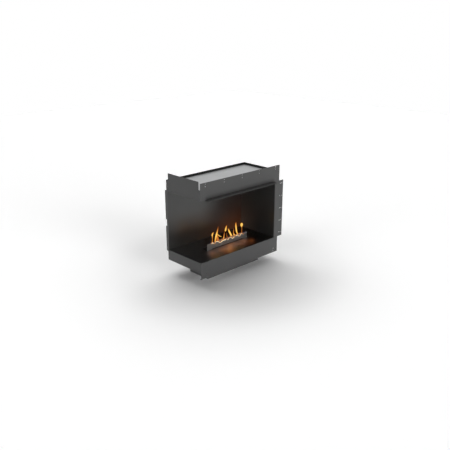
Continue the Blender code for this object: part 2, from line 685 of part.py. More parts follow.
def build_snuffer(burner, snuffer, stainless, steel):
    """The sliding plate with its knob, and the two ledges that it runs on."""
    half = SNUFFER_LENGTH / 2
    outline = rectangle(-half, -SNUFFER_WIDTH / 2, half, SNUFFER_WIDTH / 2)
    plate("snuffer_plate", outline, "level", stainless, snuffer,
          (0, 0, SNUFFER_TOP - SNUFFER_SHEET), SNUFFER_SHEET)

    seat = SNUFFER_TOP + FIT
    cap = COLLAR_TOP + KNOB_LIFT
    section = [(0, seat), (KNOB_STEM_RADIUS, seat), (KNOB_STEM_RADIUS, cap),
               (KNOB_RADIUS, cap), (KNOB_RADIUS, cap + KNOB_HEIGHT - KNOB_ROUNDING),
               (KNOB_RADIUS - KNOB_ROUNDING, cap + KNOB_HEIGHT), (0, cap + KNOB_HEIGHT)]
    knob = turned_mesh("snuffer_knob", section, KNOB_SIDES, steel)
    put("snuffer_knob", knob, snuffer, (KNOB_X, 0, 0))

    ledge = SNUFFER_TOP - SNUFFER_SHEET - FIT - RUNNER_SHEET / 2
    wall = TANK_LENGTH / 2 - TANK_SHEET - FIT - RUNNER_SHEET / 2
    reach = TANK_WIDTH / 2 - TANK_SHEET - FIT
    for name, side in (("snuffer_runner_left", -1), ("snuffer_runner_right", 1)):
        corners = [(side * SLOT_LENGTH / 2, ledge), (side * wall, ledge),
                   (side * wall, ledge - RUNNER_HEIGHT)]
        profile(name, corners, "front", 2 * reach, stainless, burner, (0, -reach, 0),
                RUNNER_SHEET)


def main():
    for item in list(bpy.data.objects):
        bpy.data.objects.remove(item, do_unlink=True)

    grey = material("grey_paint", tone(84, 84, 84), 0.55)
    black = material("gloss_black", tone(24, 23, 22), 0.22)
    satin = material("satin_black", tone(22, 22, 22), 0.5)
    zinc = material("zinc_sheet", tone(174, 174, 174), 0.45, 0.3)
    stainless = material("stainless_steel", tone(120, 116, 112), 0.35, 0.8)
    steel = material("screw_steel", tone(150, 150, 150), 0.35, 0.9)
    fibre = material("ceramic_fibre", tone(214, 208, 196), 0.95)

    middle = (OVERALL_BACK - LIP_REACH) / 2
    casing = empty("sill_corner", (-OVERALL_WIDTH / 2, -middle, WELL_DROP))
    burner = empty("burner_lift", (BURNER_X, BURNER_Y, 0), casing)
    snuffer = empty("snuffer_slide", (0, SNUFFER_OPEN_Y, 0), burner)

    build_hood(casing, grey)
    build_flanges(casing, grey)
    build_skirts(casing, grey)
    build_firebox(casing, black)
    build_casing(casing, satin, zinc)
    build_spacers(casing, zinc)
    build_underside(casing, grey, zinc)
    build_fasteners(casing, steel)
    build_burner(burner, stainless, satin, fibre, steel)
    build_snuffer(burner, snuffer, stainless, steel)


main()
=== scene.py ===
"""Looks of the corner bioethanol fireplace: finishes, fine pieces, flames, light and camera.

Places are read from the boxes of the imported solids. Metres, +Z up, front towards -Y. The sill
corner is the front left corner of the firebox floor, and the flames are placed from it.
"""

import json
import math

import bmesh
import bpy
from mathutils import Matrix, Vector, noise


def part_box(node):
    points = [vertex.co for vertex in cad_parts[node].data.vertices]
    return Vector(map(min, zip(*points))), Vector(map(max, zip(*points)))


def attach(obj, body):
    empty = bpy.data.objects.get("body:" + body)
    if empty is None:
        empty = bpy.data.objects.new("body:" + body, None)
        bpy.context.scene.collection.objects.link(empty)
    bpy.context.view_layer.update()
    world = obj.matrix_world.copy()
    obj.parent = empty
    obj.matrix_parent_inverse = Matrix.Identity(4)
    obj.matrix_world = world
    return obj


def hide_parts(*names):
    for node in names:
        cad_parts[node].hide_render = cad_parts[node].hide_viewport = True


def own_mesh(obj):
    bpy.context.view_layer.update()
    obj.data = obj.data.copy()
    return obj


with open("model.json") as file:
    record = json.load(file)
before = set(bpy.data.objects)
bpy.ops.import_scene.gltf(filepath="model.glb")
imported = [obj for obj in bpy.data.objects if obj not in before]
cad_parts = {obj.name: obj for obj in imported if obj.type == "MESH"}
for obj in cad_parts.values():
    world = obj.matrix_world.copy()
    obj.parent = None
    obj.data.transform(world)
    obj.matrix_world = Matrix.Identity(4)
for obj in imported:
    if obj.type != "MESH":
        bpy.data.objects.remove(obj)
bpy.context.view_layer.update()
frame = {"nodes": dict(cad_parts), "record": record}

NODES = frame["nodes"]
SKIRT_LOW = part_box("front_skirt")[0]
FLOOR_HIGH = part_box("floor_panel")[1]
SILL = Vector((SKIRT_LOW.x, SKIRT_LOW.y, FLOOR_HIGH.z))
BACK_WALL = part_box("inner_back_panel")[0].y - SILL.y
RIGHT_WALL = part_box("inner_right_panel")[0].x - SILL.x
HOOD_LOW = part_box("hood_front_plate")[0]
LIP_LOW, LIP_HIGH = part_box("heat_deflector")

# Camera, from the sill corner, for a picture as high as it is wide
CAMERA_FROM_SILL = Vector((-2.6048, -2.9738, 1.688))
CAMERA_TILT = math.radians(70.68)
CAMERA_TURN = math.radians(-43.76)
LENS = 46.55
SENSOR = 36

# Studio light: soft far lamps, each with its strength, its spread and the side it stands on
LAMPS = {
    "key_light": (1.56, math.radians(60), Vector((0.42, 0.40, 1.0))),
    "back_light": (0.41, math.radians(80), Vector((0.30, 0.60, 0.60))),
    "rear_light": (0.40, math.radians(34), Vector((0.0, 0.669, 0.743))),
    "front_light": (1.95, math.radians(34), Vector((0.0, -0.978, 0.208))),
    "left_light": (0.67, math.radians(34), Vector((-0.978, 0.0, 0.208))),
    "upper_left_light": (0.20, math.radians(34), Vector((-0.883, 0.0, 0.469))),
}

# Studio floor: it gives back a share of the lamps' light, and by its own light it brightens to
# white away from its middle, by (share of its reach, level)
FLOOR_HALF = 9.0
FLOOR_GRID = 8
FLOOR_GIVES_BACK = 0.8
FLOOR_REACH = 2.0
FLOOR_STOPS = [(0.275, 0.0), (0.40, 0.033), (0.55, 0.147), (0.75, 0.191), (1.0, 0.191)]

# Sheet edges: their rounding, on corners sharper than an angle
WELD_DISTANCE = 0.00002
EDGE_ROUNDING = 0.0004
EDGE_STEPS = 2
EDGE_ANGLE = math.radians(40)

# Fine pieces stand in place of packed ones, and fill this share of their width
FINE_TRIM = 0.985
FINE_ANGLE = math.radians(38)

# Screws: how many, the way they face and their body. The sections of the head and of its
# socket are (share of its radius, height over the sheet).
SCREWS = {
    "back_screw": (4, Vector((0, 1, 0)), "casing"),
    "side_screw": (4, Vector((1, 0, 0)), "casing"),
    "well_screw": (4, Vector((0, 0, -1)), "casing"),
    "guard_screw": (2, Vector((0, 0, 1)), "burner"),
}
SCREW_HEAD_HEIGHT = 0.0026
SCREW_SHANK_RADIUS = 0.0020
SCREW_END_RADIUS = 0.0016
SCREW_CHAMFER = 0.0003
SCREW_STEPS = 24
SCREW_DOME = [(0.97, 0), (1, 0.0002), (1, 0.0009), (0.93, 0.0015), (0.78, 0.0021), (0.60, 0.0025)]
SOCKET_SHARE = 0.46
SOCKET_SIDES = 6
SOCKET_SECTION = [(1.08, SCREW_HEAD_HEIGHT), (1, 0.0024), (1, 0.00104), (0, 0.00078)]

# Knob: the grip's section is (share of its radius, height over its root)
KNOB_GRIP_HEIGHT = 0.009
KNOB_STEM_RADIUS = 0.0020
KNOB_STEPS = 60
KNOB_SECTION = [(0.86, 0), (0.95, 0.0005), (1, 0.0012), (1, 0.0036), (1, 0.0060), (0.95, 0.0074),
                (0.84, 0.0083), (0.66, 0.0090), (0.52, 0.0086), (0, 0.0082)]
KNURL_SHARE = 0.955

# Wick: its skin sinks by its roughness times an even share and the lumps, which are pairs of
# (scale, share)
WICK_TRIM = 0.0006
WICK_LENGTH_CUTS = 120
WICK_CROSS_CUTS = 7
WICK_ROUGHNESS = 0.0005
WICK_EVEN_SHARE = 0.8
WICK_LUMPS = [(260, 0.5), (700, 0.3)]

# Painted shade on the front hood, darkest along the lip: how it starts at the lip's left end and
# stops at its right end, how high it rises, and how much of it is left at shares of that height
PAINTED_SHADE_COLOUR = (34, 33, 32)
HOOD_SHADE_START = (-0.004, 0.012)
HOOD_SHADE_STOP = (-0.002, 0.014)
HOOD_SHADE_RISE = 0.038
HOOD_SHADE_FADE = [(0.0, 0.97), (0.18, 0.57), (0.36, 0.39), (0.54, 0.19), (0.75, 0.10), (1.0, 0.0)]
HOOD_SHADE_WAVE = 0.08

# Painted shade on the lip, from its edge to its root, darkest at the root
LIP_SHADE_SHARES = (0.34, 0.78)
LIP_SHADE_WAVE = 0.01

# Gloss of the firebox enamels
WALL_ROUGHNESS = (0.285, 0.335)
WALL_IOR = 1.70
FLOOR_ROUGHNESS = (0.29, 0.35)
FLOOR_IOR = 1.76

# Flames stand on the middle of the slot in the burner's top plate
SLOT_FROM_SILL = 0.176
FLAME_SIDES = 12
FLAME_STEPS = 4
FLAME_THICKNESS_SHARE = 0.62
FLAME_DEEPEST = 0.0068
FLAME_TIP = 0.0003
FLAME_ANGLE = math.radians(80)
VEIL_SHARE = 1.10
VEIL_SPREAD = 0.0006
# A flame's middle line wanders by up to this much, and by less below this height
FLAME_WANDER = 0.0022
FLAME_WANDER_SCALE = (30, 28)
FLAME_WANDER_HEIGHT = 0.05
# Drop below the sill, handed to the snuffer with each flame
SNUFFED_DROP = 0.016

# Each flame has stations of (across, up, half width, glow), from the sill corner
FLAMES = {
    "hooked_flame": [(0.270, 0.005, 0.0030, 0.6), (0.2720, 0.034, 0.0030, 0.8),
                     (0.2738, 0.052, 0.0024, 0.6), (0.2750, 0.080, 0.0022, 0.45),
                     (0.2735, 0.098, 0.0036, 0.8), (0.2748, 0.112, 0.0062, 1.0),
                     (0.2800, 0.123, 0.0050, 0.8), (0.2880, 0.130, 0.0012, 0.5)],
    "main_flame": [(0.298, 0.005, 0.0044, 0.7), (0.299, 0.032, 0.0052, 0.9),
                   (0.305, 0.056, 0.0054, 0.75), (0.311, 0.078, 0.0066, 0.9),
                   (0.316, 0.096, 0.0074, 1.0), (0.322, 0.114, 0.0062, 0.9),
                   (0.329, 0.133, 0.0040, 0.6), (0.335, 0.150, 0.0026, 0.3),
                   (0.339, 0.166, 0.0008, 0.1)],
    "ember_body": [(0.334, 0.005, 0.0110, 0.25), (0.335, 0.040, 0.0120, 0.32),
                   (0.331, 0.062, 0.0100, 0.34), (0.327, 0.086, 0.0070, 0.36),
                   (0.326, 0.108, 0.0030, 0.30)],
    "flame_arm": [(0.325, 0.110, 0.0026, 0.7), (0.333, 0.098, 0.0040, 0.85),
                  (0.345, 0.087, 0.0046, 0.9), (0.357, 0.078, 0.0056, 0.95),
                  (0.366, 0.073, 0.0050, 0.9), (0.372, 0.070, 0.0012, 0.6)],
    "leaning_flame": [(0.372, 0.005, 0.0046, 0.7), (0.382, 0.034, 0.0048, 0.8),
                      (0.393, 0.048, 0.0046, 0.8), (0.399, 0.062, 0.0040, 0.6),
                      (0.402, 0.078, 0.0034, 0.42), (0.404, 0.092, 0.0026, 0.32),
                      (0.405, 0.101, 0.0010, 0.2)],
    "loose_flame": [(0.413, 0.104, 0.0016, 0.6), (0.4155, 0.110, 0.0062, 0.95),
                    (0.4190, 0.121, 0.0066, 1.0), (0.4230, 0.134, 0.0054, 0.85),
                    (0.4270, 0.145, 0.0036, 0.6), (0.4300, 0.153, 0.0008, 0.3)],
    "thin_flame": [(0.447, 0.005, 0.0024, 0.6), (0.441, 0.034, 0.0022, 0.6),
                   (0.434, 0.054, 0.0018, 0.4), (0.430, 0.072, 0.0014, 0.3),
                   (0.429, 0.090, 0.0005, 0.2)],
    "slanting_flame": [(0.504, 0.005, 0.0050, 0.8), (0.496, 0.028, 0.0056, 0.9),
                       (0.486, 0.044, 0.0068, 0.9), (0.476, 0.062, 0.0076, 1.0),
                       (0.466, 0.080, 0.0080, 1.0), (0.457, 0.096, 0.0068, 0.95),
                       (0.451, 0.110, 0.0044, 0.8), (0.446, 0.122, 0.0008, 0.5)],
    "round_flame": [(0.526, 0.005, 0.0070, 0.8), (0.524, 0.034, 0.0096, 0.95),
                    (0.519, 0.046, 0.0088, 0.95), (0.510, 0.058, 0.0044, 0.7),
                    (0.507, 0.072, 0.0028, 0.5), (0.5075, 0.090, 0.0024, 0.42),
                    (0.508, 0.106, 0.0006, 0.25)],
    "tall_flame": [(0.575, 0.005, 0.0046, 0.6), (0.566, 0.030, 0.0050, 0.6),
                   (0.556, 0.046, 0.0054, 0.75), (0.546, 0.062, 0.0056, 0.9),
                   (0.539, 0.082, 0.0060, 1.0), (0.536, 0.104, 0.0064, 1.0),
                   (0.534, 0.124, 0.0060, 0.85), (0.533, 0.140, 0.0046, 0.55),
                   (0.532, 0.155, 0.0010, 0.2)],
    "ball_flame": [(0.590, 0.005, 0.0026, 0.4), (0.600, 0.036, 0.0024, 0.36),
                   (0.602, 0.070, 0.0022, 0.34), (0.6008, 0.094, 0.0024, 0.5),
                   (0.6000, 0.103, 0.0070, 0.9), (0.5997, 0.111, 0.0114, 1.0),
                   (0.5993, 0.119, 0.0122, 1.0), (0.5988, 0.127, 0.0092, 0.95),
                   (0.5984, 0.133, 0.0016, 0.7)],
}

# Bed of flame: it rises from the slot, and hangs down the guard's front as painted glow, brightest
# at a waving rim. Its section has stations of (deep, up, glow), and the last ones hang from the
# rim's height.
BED_SECTION = [(0.1760, 0.006, 0.05), (0.1750, 0.030, 0.20), (0.1690, 0.050, 0.34),
               (0.1612, 0.0562, 0.38)]
BED_GLOW_ON_GUARD = [(0.1564, 0.0052, 0.46), (0.1548, 0.0022, 0.95), (0.1541, 0.0, 1.0)]
BED_RIM = [(0.229, 0.0530), (0.2423, 0.0455), (0.256, 0.0520), (0.2747, 0.0400), (0.2985, 0.0530),
           (0.3435, 0.0345), (0.3738, 0.0435), (0.3952, 0.0420), (0.4080, 0.0470),
           (0.4229, 0.0370), (0.4477, 0.0515), (0.4759, 0.0340), (0.5041, 0.0475),
           (0.5180, 0.0450), (0.5295, 0.0475), (0.5552, 0.0330), (0.5807, 0.0515),
           (0.6004, 0.0380), (0.6197, 0.0510), (0.632, 0.0540)]
BED_COLUMNS = 160
BED_STEPS = 3
BED_SKIN = 0.0008
# The bed fades out over a length at its left and at its right end. A ripple bends it by up to
# its depth, and stirs the right fade and the glow by its shares.
BED_FADE = (0.02, 0.06)
RIPPLE_SCALE = (60, 30)
RIPPLE_SEED = 7.0
RIPPLE_DEPTH = 0.0008
RIPPLE_FADE_SHARE = 0.1
RIPPLE_GLOW_SHARE = 0.6
# A place (deep, up) inside the tank and a tilt from Z, handed to the snuffer with the bed
BED_SUNK = (0.1792, -0.0063)
BED_SUNK_TILT = math.radians(20)

# Flame light is painted on the sheets as thin glowing films, in pools. Each has its low and high
# corner, the side it faces, its dim and bright colours, and pools of (middle, reach, turn,
# strength), from the sill corner. A pool doesn't fade along an axis where its reach is FAR. On the
# glossy floor the painted pools are drawn out along the camera's line of sight, as a painted
# reflection.
EMBER = ((240, 122, 40), (255, 162, 96))
PALE_EMBER = ((236, 184, 156), (236, 184, 156))
FLOOR_EMBER = ((247, 138, 74), (247, 157, 94))
FAR = 100.0
SHINE = CAMERA_TURN
# A film stands off its sheet by a gap, and a depth below its own place is given
FILM_GAP = 0.0010
FILM_SUNK = 0.0018
FILM_SKIN = 0.0003
FILM_GRID = (32, 20)
LIGHT_FILMS = {
    "floor_light": {
        "low": (0.09, 0.004, FILM_GAP), "high": (0.74, 0.152, FILM_GAP), "side": (0, 0, 1),
        "colours": FLOOR_EMBER,
        "pools": [((0.381, 0.087, 0), (0.065, 0.210, FAR), SHINE, 0.1190),
                  ((0.312, 0.092, 0), (0.098, 0.137, FAR), SHINE, 0.0600),
                  ((0.564, 0.118, 0), (0.085, 0.102, FAR), SHINE, 0.0592),
                  ((0.197, 0.094, 0), (0.056, 0.131, FAR), SHINE, 0.0430),
                  ((0.477, 0.104, 0), (0.180, 0.102, FAR), SHINE, 0.0435),
                  ((0.616, 0.075, 0), (0.043, 0.101, FAR), SHINE, 0.0427)],
    },
    "back_wall_light": {
        "low": (0.16, BACK_WALL - FILM_GAP, 0.004), "high": (0.798, BACK_WALL - FILM_GAP, 0.42),
        "side": (0, -1, 0), "colours": EMBER,
        "pools": [((0.672, 0, 0), (0.480, FAR, 0.370), 0, 0.0262)],
    },
    "right_wall_light": {
        "low": (RIGHT_WALL - FILM_GAP, 0.12, 0.004), "high": (RIGHT_WALL - FILM_GAP, 0.378, 0.42),
        "side": (-1, 0, 0), "colours": PALE_EMBER,
        "pools": [((0, 0.400, 0.02), (FAR, 0.270, 0.440), 0, 0.0145)],
    },
}
# How a pool fades by shares of its reach, and between which strengths it turns from its dim to
# its bright colour
POOL_FALL = [(0.0, 1.0), (0.15, 0.88), (0.33, 0.50), (0.50, 0.25), (0.67, 0.13), (0.83, 0.05),
             (1.0, 0.0)]
POOL_GLOW = (0.02, 0.08)


class Value:
    """A shader socket on which sums are written as plain expressions."""

    def __init__(self, network, socket):
        self.network = network
        self.socket = socket

    def __add__(self, other):
        return self.network.sum("ADD", self, other)

    def __radd__(self, other):
        return self.network.sum("ADD", other, self)

    def __sub__(self, other):
        return self.network.sum("SUBTRACT", self, other)

    def __rsub__(self, other):
        return self.network.sum("SUBTRACT", other, self)

    def __mul__(self, other):
        return self.network.sum("MULTIPLY", self, other)

    def __rmul__(self, other):
        return self.network.sum("MULTIPLY", other, self)

    def __truediv__(self, other):
        return self.network.sum("DIVIDE", self, other)

    def __rtruediv__(self, other):
        return self.network.sum("DIVIDE", other, self)


class Network:
    """A node tree that finishes are written in."""

    def __init__(self, tree):
        self.tree = tree

    def feed(self, socket, value):
        """Gives a socket a constant, or links it to what is worked out for it."""
        if isinstance(value, Value):
            self.tree.links.new(value.socket, socket)
        else:
            socket.default_value = value

    def node(self, kind, settings=None, sockets=None, output=0):
        """A node of a type, with its settings, what its sockets take, and the output wanted."""
        node = self.tree.nodes.new("ShaderNode" + kind)
        for name, value in (settings or {}).items():
            if name == "stops":
                self.set_stops(node.color_ramp, value)
            else:
                setattr(node, name, value)
        for name, value in (sockets or {}).items():
            self.feed(node.inputs[name], value)
        return Value(self, node.outputs[output])

    def set_stops(self, ramp, stops):
        """Fills a colour ramp with stops of (share, colour)."""
        while len(ramp.elements) < len(stops):
            ramp.elements.new(1.0)
        for element, (position, colour) in zip(ramp.elements, stops):
            element.position = position
            element.color = colour

    def sum(self, operation, first, second):
        """One value out of two, by a sum of its kind."""
        return self.node("Math", {"operation": operation}, {0: first, 1: second})

    def clipped(self, value, span, onto=(0.0, 1.0)):
        """A value spread from one span onto another, and held at its ends."""
        return self.node("MapRange", {"clamp": True},
                         {"Value": value, "From Min": span[0], "From Max": span[1],
                          "To Min": onto[0], "To Max": onto[1]})

    def blend(self, share, low, high):
        """A colour between two others."""
        return self.node("Mix", {"data_type": "RGBA"}, {0: share, 6: low, 7: high}, output=2)

    def ramp(self, share, stops):
        """A colour between stops of (share, colour)."""
        return self.node("ValToRGB", {"stops": stops}, {"Fac": share})

    def curve(self, share, stops):
        """A level between stops of (share, level)."""
        return self.ramp(share, [(place, grey(level)) for place, level in stops])

    def point(self):
        """The place of a point of the surface, in metres."""
        return self.node("TexCoord", output="Object")

    def distance(self, point):
        """How far a point is from the origin."""
        return self.node("VectorMath", {"operation": "LENGTH"}, {0: point}, output="Value")

    def axes(self):
        """Place across, deep and up."""
        split = self.node("SeparateXYZ", {}, {"Vector": self.point()}).socket.node
        return [Value(self, output) for output in split.outputs]

    def noise(self, scale, detail=3.0, roughness=0.5, stretch=(1, 1, 1)):
        """A cloudy pattern, finer along an axis that is stretched more."""
        place = self.node("Mapping", {}, {"Vector": self.point(), "Scale": stretch})
        return self.node("TexNoise", {}, {"Vector": place, "Scale": scale,
                                          "Detail": detail, "Roughness": roughness})

    def glow(self):
        """How hot the piece glows here, from its own mesh."""
        return self.node("Attribute", {"attribute_name": "glow"}, output="Fac")


class Finish(Network):
    """A material with one surface shader."""

    def __init__(self, name, steady):
        self.material = bpy.data.materials.new(name)
        self.material.use_nodes = True
        super().__init__(self.material.node_tree)
        self.shader = self.tree.nodes["Principled BSDF"]
        for socket, value in steady.items():
            self.shader.inputs[socket].default_value = value

    def set(self, socket, value):
        """Sets or links one socket of the surface shader."""
        self.feed(self.shader.inputs[socket], value)

    def bump(self, height, depth, strength):
        """Raises the surface by a pattern, up to a depth in metres."""
        self.set("Normal", self.node("Bump", {}, {"Height": height, "Distance": depth,
                                                  "Strength": strength}))


def grey(level):
    """A grey of one level, as a shader takes it."""
    return (level, level, level, 1.0)


def tint(red, green, blue):
    """A screen colour, 0 to 255, as the linear values that a shader takes."""
    return (*[(channel / 255) ** 2.2 for channel in (red, green, blue)], 1.0)


def grey_coat(name, film=None, low=77, high=82):
    """Matt grey powder coat with a fine grain, and painted dark shade where a mask for it is
    given.
    """
    finish = Finish(name, {"Specular IOR Level": 0.35})
    cloud = finish.noise(scale=9, detail=3, roughness=0.55)
    speck = finish.noise(scale=1600, detail=1)
    tone = finish.clipped(cloud * 0.7 + speck * 0.3, (0.35, 0.65))
    coat = finish.blend(tone, tint(low, low, low), tint(high, high, high))
    if film:
        coat = finish.blend(film(finish, cloud), coat, tint(*PAINTED_SHADE_COLOUR))
    finish.set("Base Color", coat)
    finish.set("Roughness", finish.clipped(cloud, (0.3, 0.7), onto=(0.50, 0.62)))
    grain = finish.noise(scale=1100, detail=2, roughness=0.6)
    finish.bump(grain, depth=0.00010, strength=0.55)
    return finish.material


def hood_painted_shade(finish, cloud):
    """Painted shade on the front hood, darkest along the lip and fading up the plate."""
    across, _, up = finish.axes()
    start = finish.clipped(across - LIP_LOW.x, HOOD_SHADE_START)
    stop = finish.clipped(across - LIP_HIGH.x, HOOD_SHADE_STOP, onto=(1.0, 0.0))
    rise = finish.clipped(up - HOOD_LOW.z, (0.0, HOOD_SHADE_RISE))
    fade = finish.curve(rise + (cloud - 0.5) * HOOD_SHADE_WAVE, HOOD_SHADE_FADE)
    return start * stop * fade


def lip_painted_shade(finish, cloud):
    """Painted shade on the lip, darkest at its root."""
    _, deep, _ = finish.axes()
    waved = deep + (cloud - 0.5) * LIP_SHADE_WAVE
    return finish.clipped(waved, (LIP_LOW.y, SKIRT_LOW.y), onto=LIP_SHADE_SHARES)


def gloss_black(name, low, high, roughness, ior):
    """Smooth black enamel, a little uneven like every sprayed sheet."""
    finish = Finish(name, {"IOR": ior})
    cloud = finish.noise(scale=6, detail=2)
    finish.set("Base Color", finish.blend(cloud, low, high))
    finish.set("Roughness", finish.clipped(cloud, (0.3, 0.7), onto=roughness))
    finish.bump(finish.noise(scale=260, detail=2), depth=0.00010, strength=0.12)
    return finish.material


def satin_black():
    """Half-matt black coat of the outer casing."""
    finish = Finish("satin_black_coat", {"Specular IOR Level": 0.4})
    cloud = finish.noise(scale=8, detail=3)
    finish.set("Base Color", finish.blend(cloud, tint(18, 18, 18), tint(26, 26, 26)))
    finish.set("Roughness", finish.clipped(cloud, (0.3, 0.7), onto=(0.42, 0.54)))
    grain = finish.noise(scale=900, detail=2, roughness=0.6)
    finish.bump(grain, depth=0.00010, strength=0.45)
    return finish.material


def zinc_sheet():
    """Galvanised sheet with its faint crystal spangle."""
    finish = Finish("galvanised_sheet", {})
    crystal = finish.node("TexVoronoi", {"feature": "F1"},
                          {"Vector": finish.point(), "Scale": 85, "Randomness": 1.0},
                          output="Color")
    spangle = finish.node("SeparateColor", {}, {"Color": crystal}, output="Red")
    cloud = finish.noise(scale=7, detail=3)
    tone = finish.clipped(spangle * 0.45 + cloud * 0.55, (0.2, 0.8))
    finish.set("Base Color", finish.blend(tone, tint(164, 165, 166), tint(180, 181, 182)))
    finish.set("Metallic", finish.clipped(spangle, (0.0, 1.0), onto=(0.35, 0.45)))
    finish.set("Roughness", finish.clipped(spangle, (0.0, 1.0), onto=(0.42, 0.56)))
    finish.bump(finish.noise(scale=700, detail=2), depth=0.00006, strength=0.3)
    return finish.material


def brushed_stainless():
    """Stainless sheet brushed from end to end."""
    finish = Finish("brushed_stainless", {})
    line = finish.noise(scale=1, detail=2, roughness=0.6, stretch=(3, 900, 900))
    cloud = finish.noise(scale=12, detail=3)
    finish.set("Base Color", finish.blend(line * 0.6 + cloud * 0.4,
                                          tint(127, 127, 125), tint(160, 159, 156)))
    finish.set("Metallic", finish.clipped(cloud, (0.0, 1.0), onto=(0.90, 1.0)))
    finish.set("Roughness", finish.clipped(line, (0.2, 0.8), onto=(0.30, 0.46)))
    finish.bump(line, depth=0.00004, strength=0.5)
    return finish.material


def screw_steel():
    """Zinc-plated steel of the screws and the knob."""
    finish = Finish("zinc_plated_steel", {})
    cloud = finish.noise(scale=320, detail=3)
    finish.set("Base Color", finish.blend(cloud, tint(150, 152, 154), tint(186, 187, 188)))
    finish.set("Metallic", finish.clipped(cloud, (0.0, 1.0), onto=(0.88, 1.0)))
    finish.set("Roughness", finish.clipped(cloud, (0.2, 0.8), onto=(0.29, 0.42)))
    finish.bump(finish.noise(scale=2400, detail=1), depth=0.00002, strength=0.3)
    return finish.material


def ceramic_fibre():
    """Pale pressed fibre with fine strands along the wick."""
    finish = Finish("ceramic_fibre_board", {"Specular IOR Level": 0.15})
    strand = finish.noise(scale=1, detail=4, roughness=0.7, stretch=(260, 1300, 700))
    cloud = finish.noise(scale=40, detail=4, roughness=0.6)
    finish.set("Base Color", finish.blend(strand * 0.5 + cloud * 0.5,
                                          tint(196, 188, 172), tint(232, 227, 216)))
    finish.set("Roughness", finish.clipped(cloud, (0.2, 0.8), onto=(0.88, 0.98)))
    finish.bump(strand, depth=0.0006, strength=0.8)
    return finish.material


def burning_gas(name, strength):
    """Burning gas glows by itself and reflects nothing."""
    return Finish(name, {"Base Color": grey(0.0), "Roughness": 1.0, "Specular IOR Level": 0.0,
                         "Emission Strength": strength})


def flame_core():
    """Bright heart of a flame, by how hot each stretch of it glows."""
    finish = burning_gas("flame_core", strength=1.3)
    glow = finish.glow()
    stops = [(0.00, tint(112, 58, 26)), (0.30, tint(176, 104, 48)), (0.55, tint(216, 144, 66)),
             (0.80, tint(242, 184, 82)), (1.00, tint(252, 212, 108))]
    finish.set("Emission Color", finish.ramp(glow, stops))
    finish.set("Alpha", finish.clipped(glow, (0.0, 0.5), onto=(0.20, 1.0)))
    return finish.material


def flame_veil():
    """Thin orange skin round each flame."""
    finish = burning_gas("flame_veil", strength=1.0)
    glow = finish.glow()
    wisp = finish.noise(scale=1, detail=2, stretch=(90, 90, 28))
    stops = [(0.00, tint(110, 40, 14)), (0.50, tint(214, 112, 36)), (1.00, tint(240, 150, 60))]
    finish.set("Emission Color", finish.ramp(glow, stops))
    finish.set("Alpha", finish.clipped(wisp + glow * 0.3, (0.2, 0.9), onto=(0.08, 0.40)))
    return finish.material


def flame_bed():
    """Ripple of flame along the slot, dim and rosy at the root, and painted glow down the guard's
    front, nearly white at its rim.
    """
    finish = burning_gas("flame_bed", strength=1.25)
    glow = finish.glow()
    stops = [(0.0, tint(70, 60, 120)), (0.40, tint(150, 80, 56)), (0.75, tint(236, 168, 104)),
             (1.0, tint(255, 232, 184))]
    finish.set("Emission Color", finish.ramp(glow, stops))
    finish.set("Alpha", finish.clipped(glow, (0.25, 1.0), onto=(0.03, 0.90)))
    return finish.material


def flame_light(name, colours, pools):
    """Painted warm light of the flames on a dark glossy sheet, in soft pools: a glowing film."""
    finish = burning_gas(name, strength=1.0)
    light = 0.0
    for middle, reach, turned, strength in pools:
        point = finish.node("Mapping", {"vector_type": "TEXTURE"},
                            {"Vector": finish.point(), "Location": SILL + Vector(middle),
                             "Rotation": (0, 0, turned), "Scale": reach})
        light = light + finish.curve(finish.distance(point), POOL_FALL) * strength
    dim, bright = [tint(*colour) for colour in colours]
    finish.set("Emission Color", finish.blend(finish.clipped(light, POOL_GLOW), dim, bright))
    cloud = finish.noise(scale=14, detail=2)
    finish.set("Alpha", light * finish.clipped(cloud, (0.2, 0.8), onto=(0.88, 1.08)))
    return finish.material


FINISHES = {
    "grey_paint": grey_coat("grey_coat"),
    # Front hood coat: a darker copy of the grey coat, with painted shade above the lip
    "hood_coat": grey_coat("hood_coat", film=hood_painted_shade, low=75, high=80),
    # Side hood coat: a darker copy of the grey coat, painted shade on the side hood plate
    "shaded_side_hood_coat": grey_coat("shaded_side_hood_coat", low=73, high=78),
    # Lip coat: the grey coat with painted shade, darkest at the lip's root
    "lip_coat": grey_coat("lip_coat", film=lip_painted_shade),
    "gloss_black": gloss_black("black_wall_enamel", tint(32, 32, 31), tint(37, 37, 36),
                               WALL_ROUGHNESS, WALL_IOR),
    # Right wall enamel: a lighter copy of the wall enamel, painted light on the right wall
    "side_gloss_black_painted_light": gloss_black("black_side_wall_enamel_painted_light", tint(39, 39, 39),
                                    tint(45, 45, 44), WALL_ROUGHNESS, WALL_IOR),
    "floor_black": gloss_black("black_floor_enamel", tint(14, 14, 13), tint(20, 19, 18),
                               FLOOR_ROUGHNESS, FLOOR_IOR),
    "satin_black": satin_black(),
    "zinc_sheet": zinc_sheet(),
    "stainless_steel": brushed_stainless(),
    "screw_steel": screw_steel(),
    "ceramic_fibre": ceramic_fibre(),
}

# Nodes with a finish of their own, in place of the one that the record gives them
OWN_FINISHES = {
    "floor_panel": "floor_black",
    "inner_right_panel": "side_gloss_black_painted_light",
    "hood_front_plate": "hood_coat",
    "hood_side_plate": "shaded_side_hood_coat",
    "heat_deflector": "lip_coat",
}


def link(name, mesh, finish, body):
    """Stands a finished mesh in the scene as a piece that moves with a body."""
    piece = bpy.data.objects.new(name, mesh)
    bpy.context.scene.collection.objects.link(piece)
    mesh.materials.append(finish)
    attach(piece, body)
    return piece


def to_mesh(name, shape, smooth_angle=None):
    """A mesh with its faces turned outwards and its sharp edges marked."""
    bmesh.ops.recalc_face_normals(shape, faces=shape.faces)
    mesh = bpy.data.meshes.new(name)
    shape.to_mesh(mesh)
    shape.free()
    if smooth_angle:
        mesh.shade_smooth()
        mesh.set_sharp_from_angle(angle=smooth_angle)
    return mesh


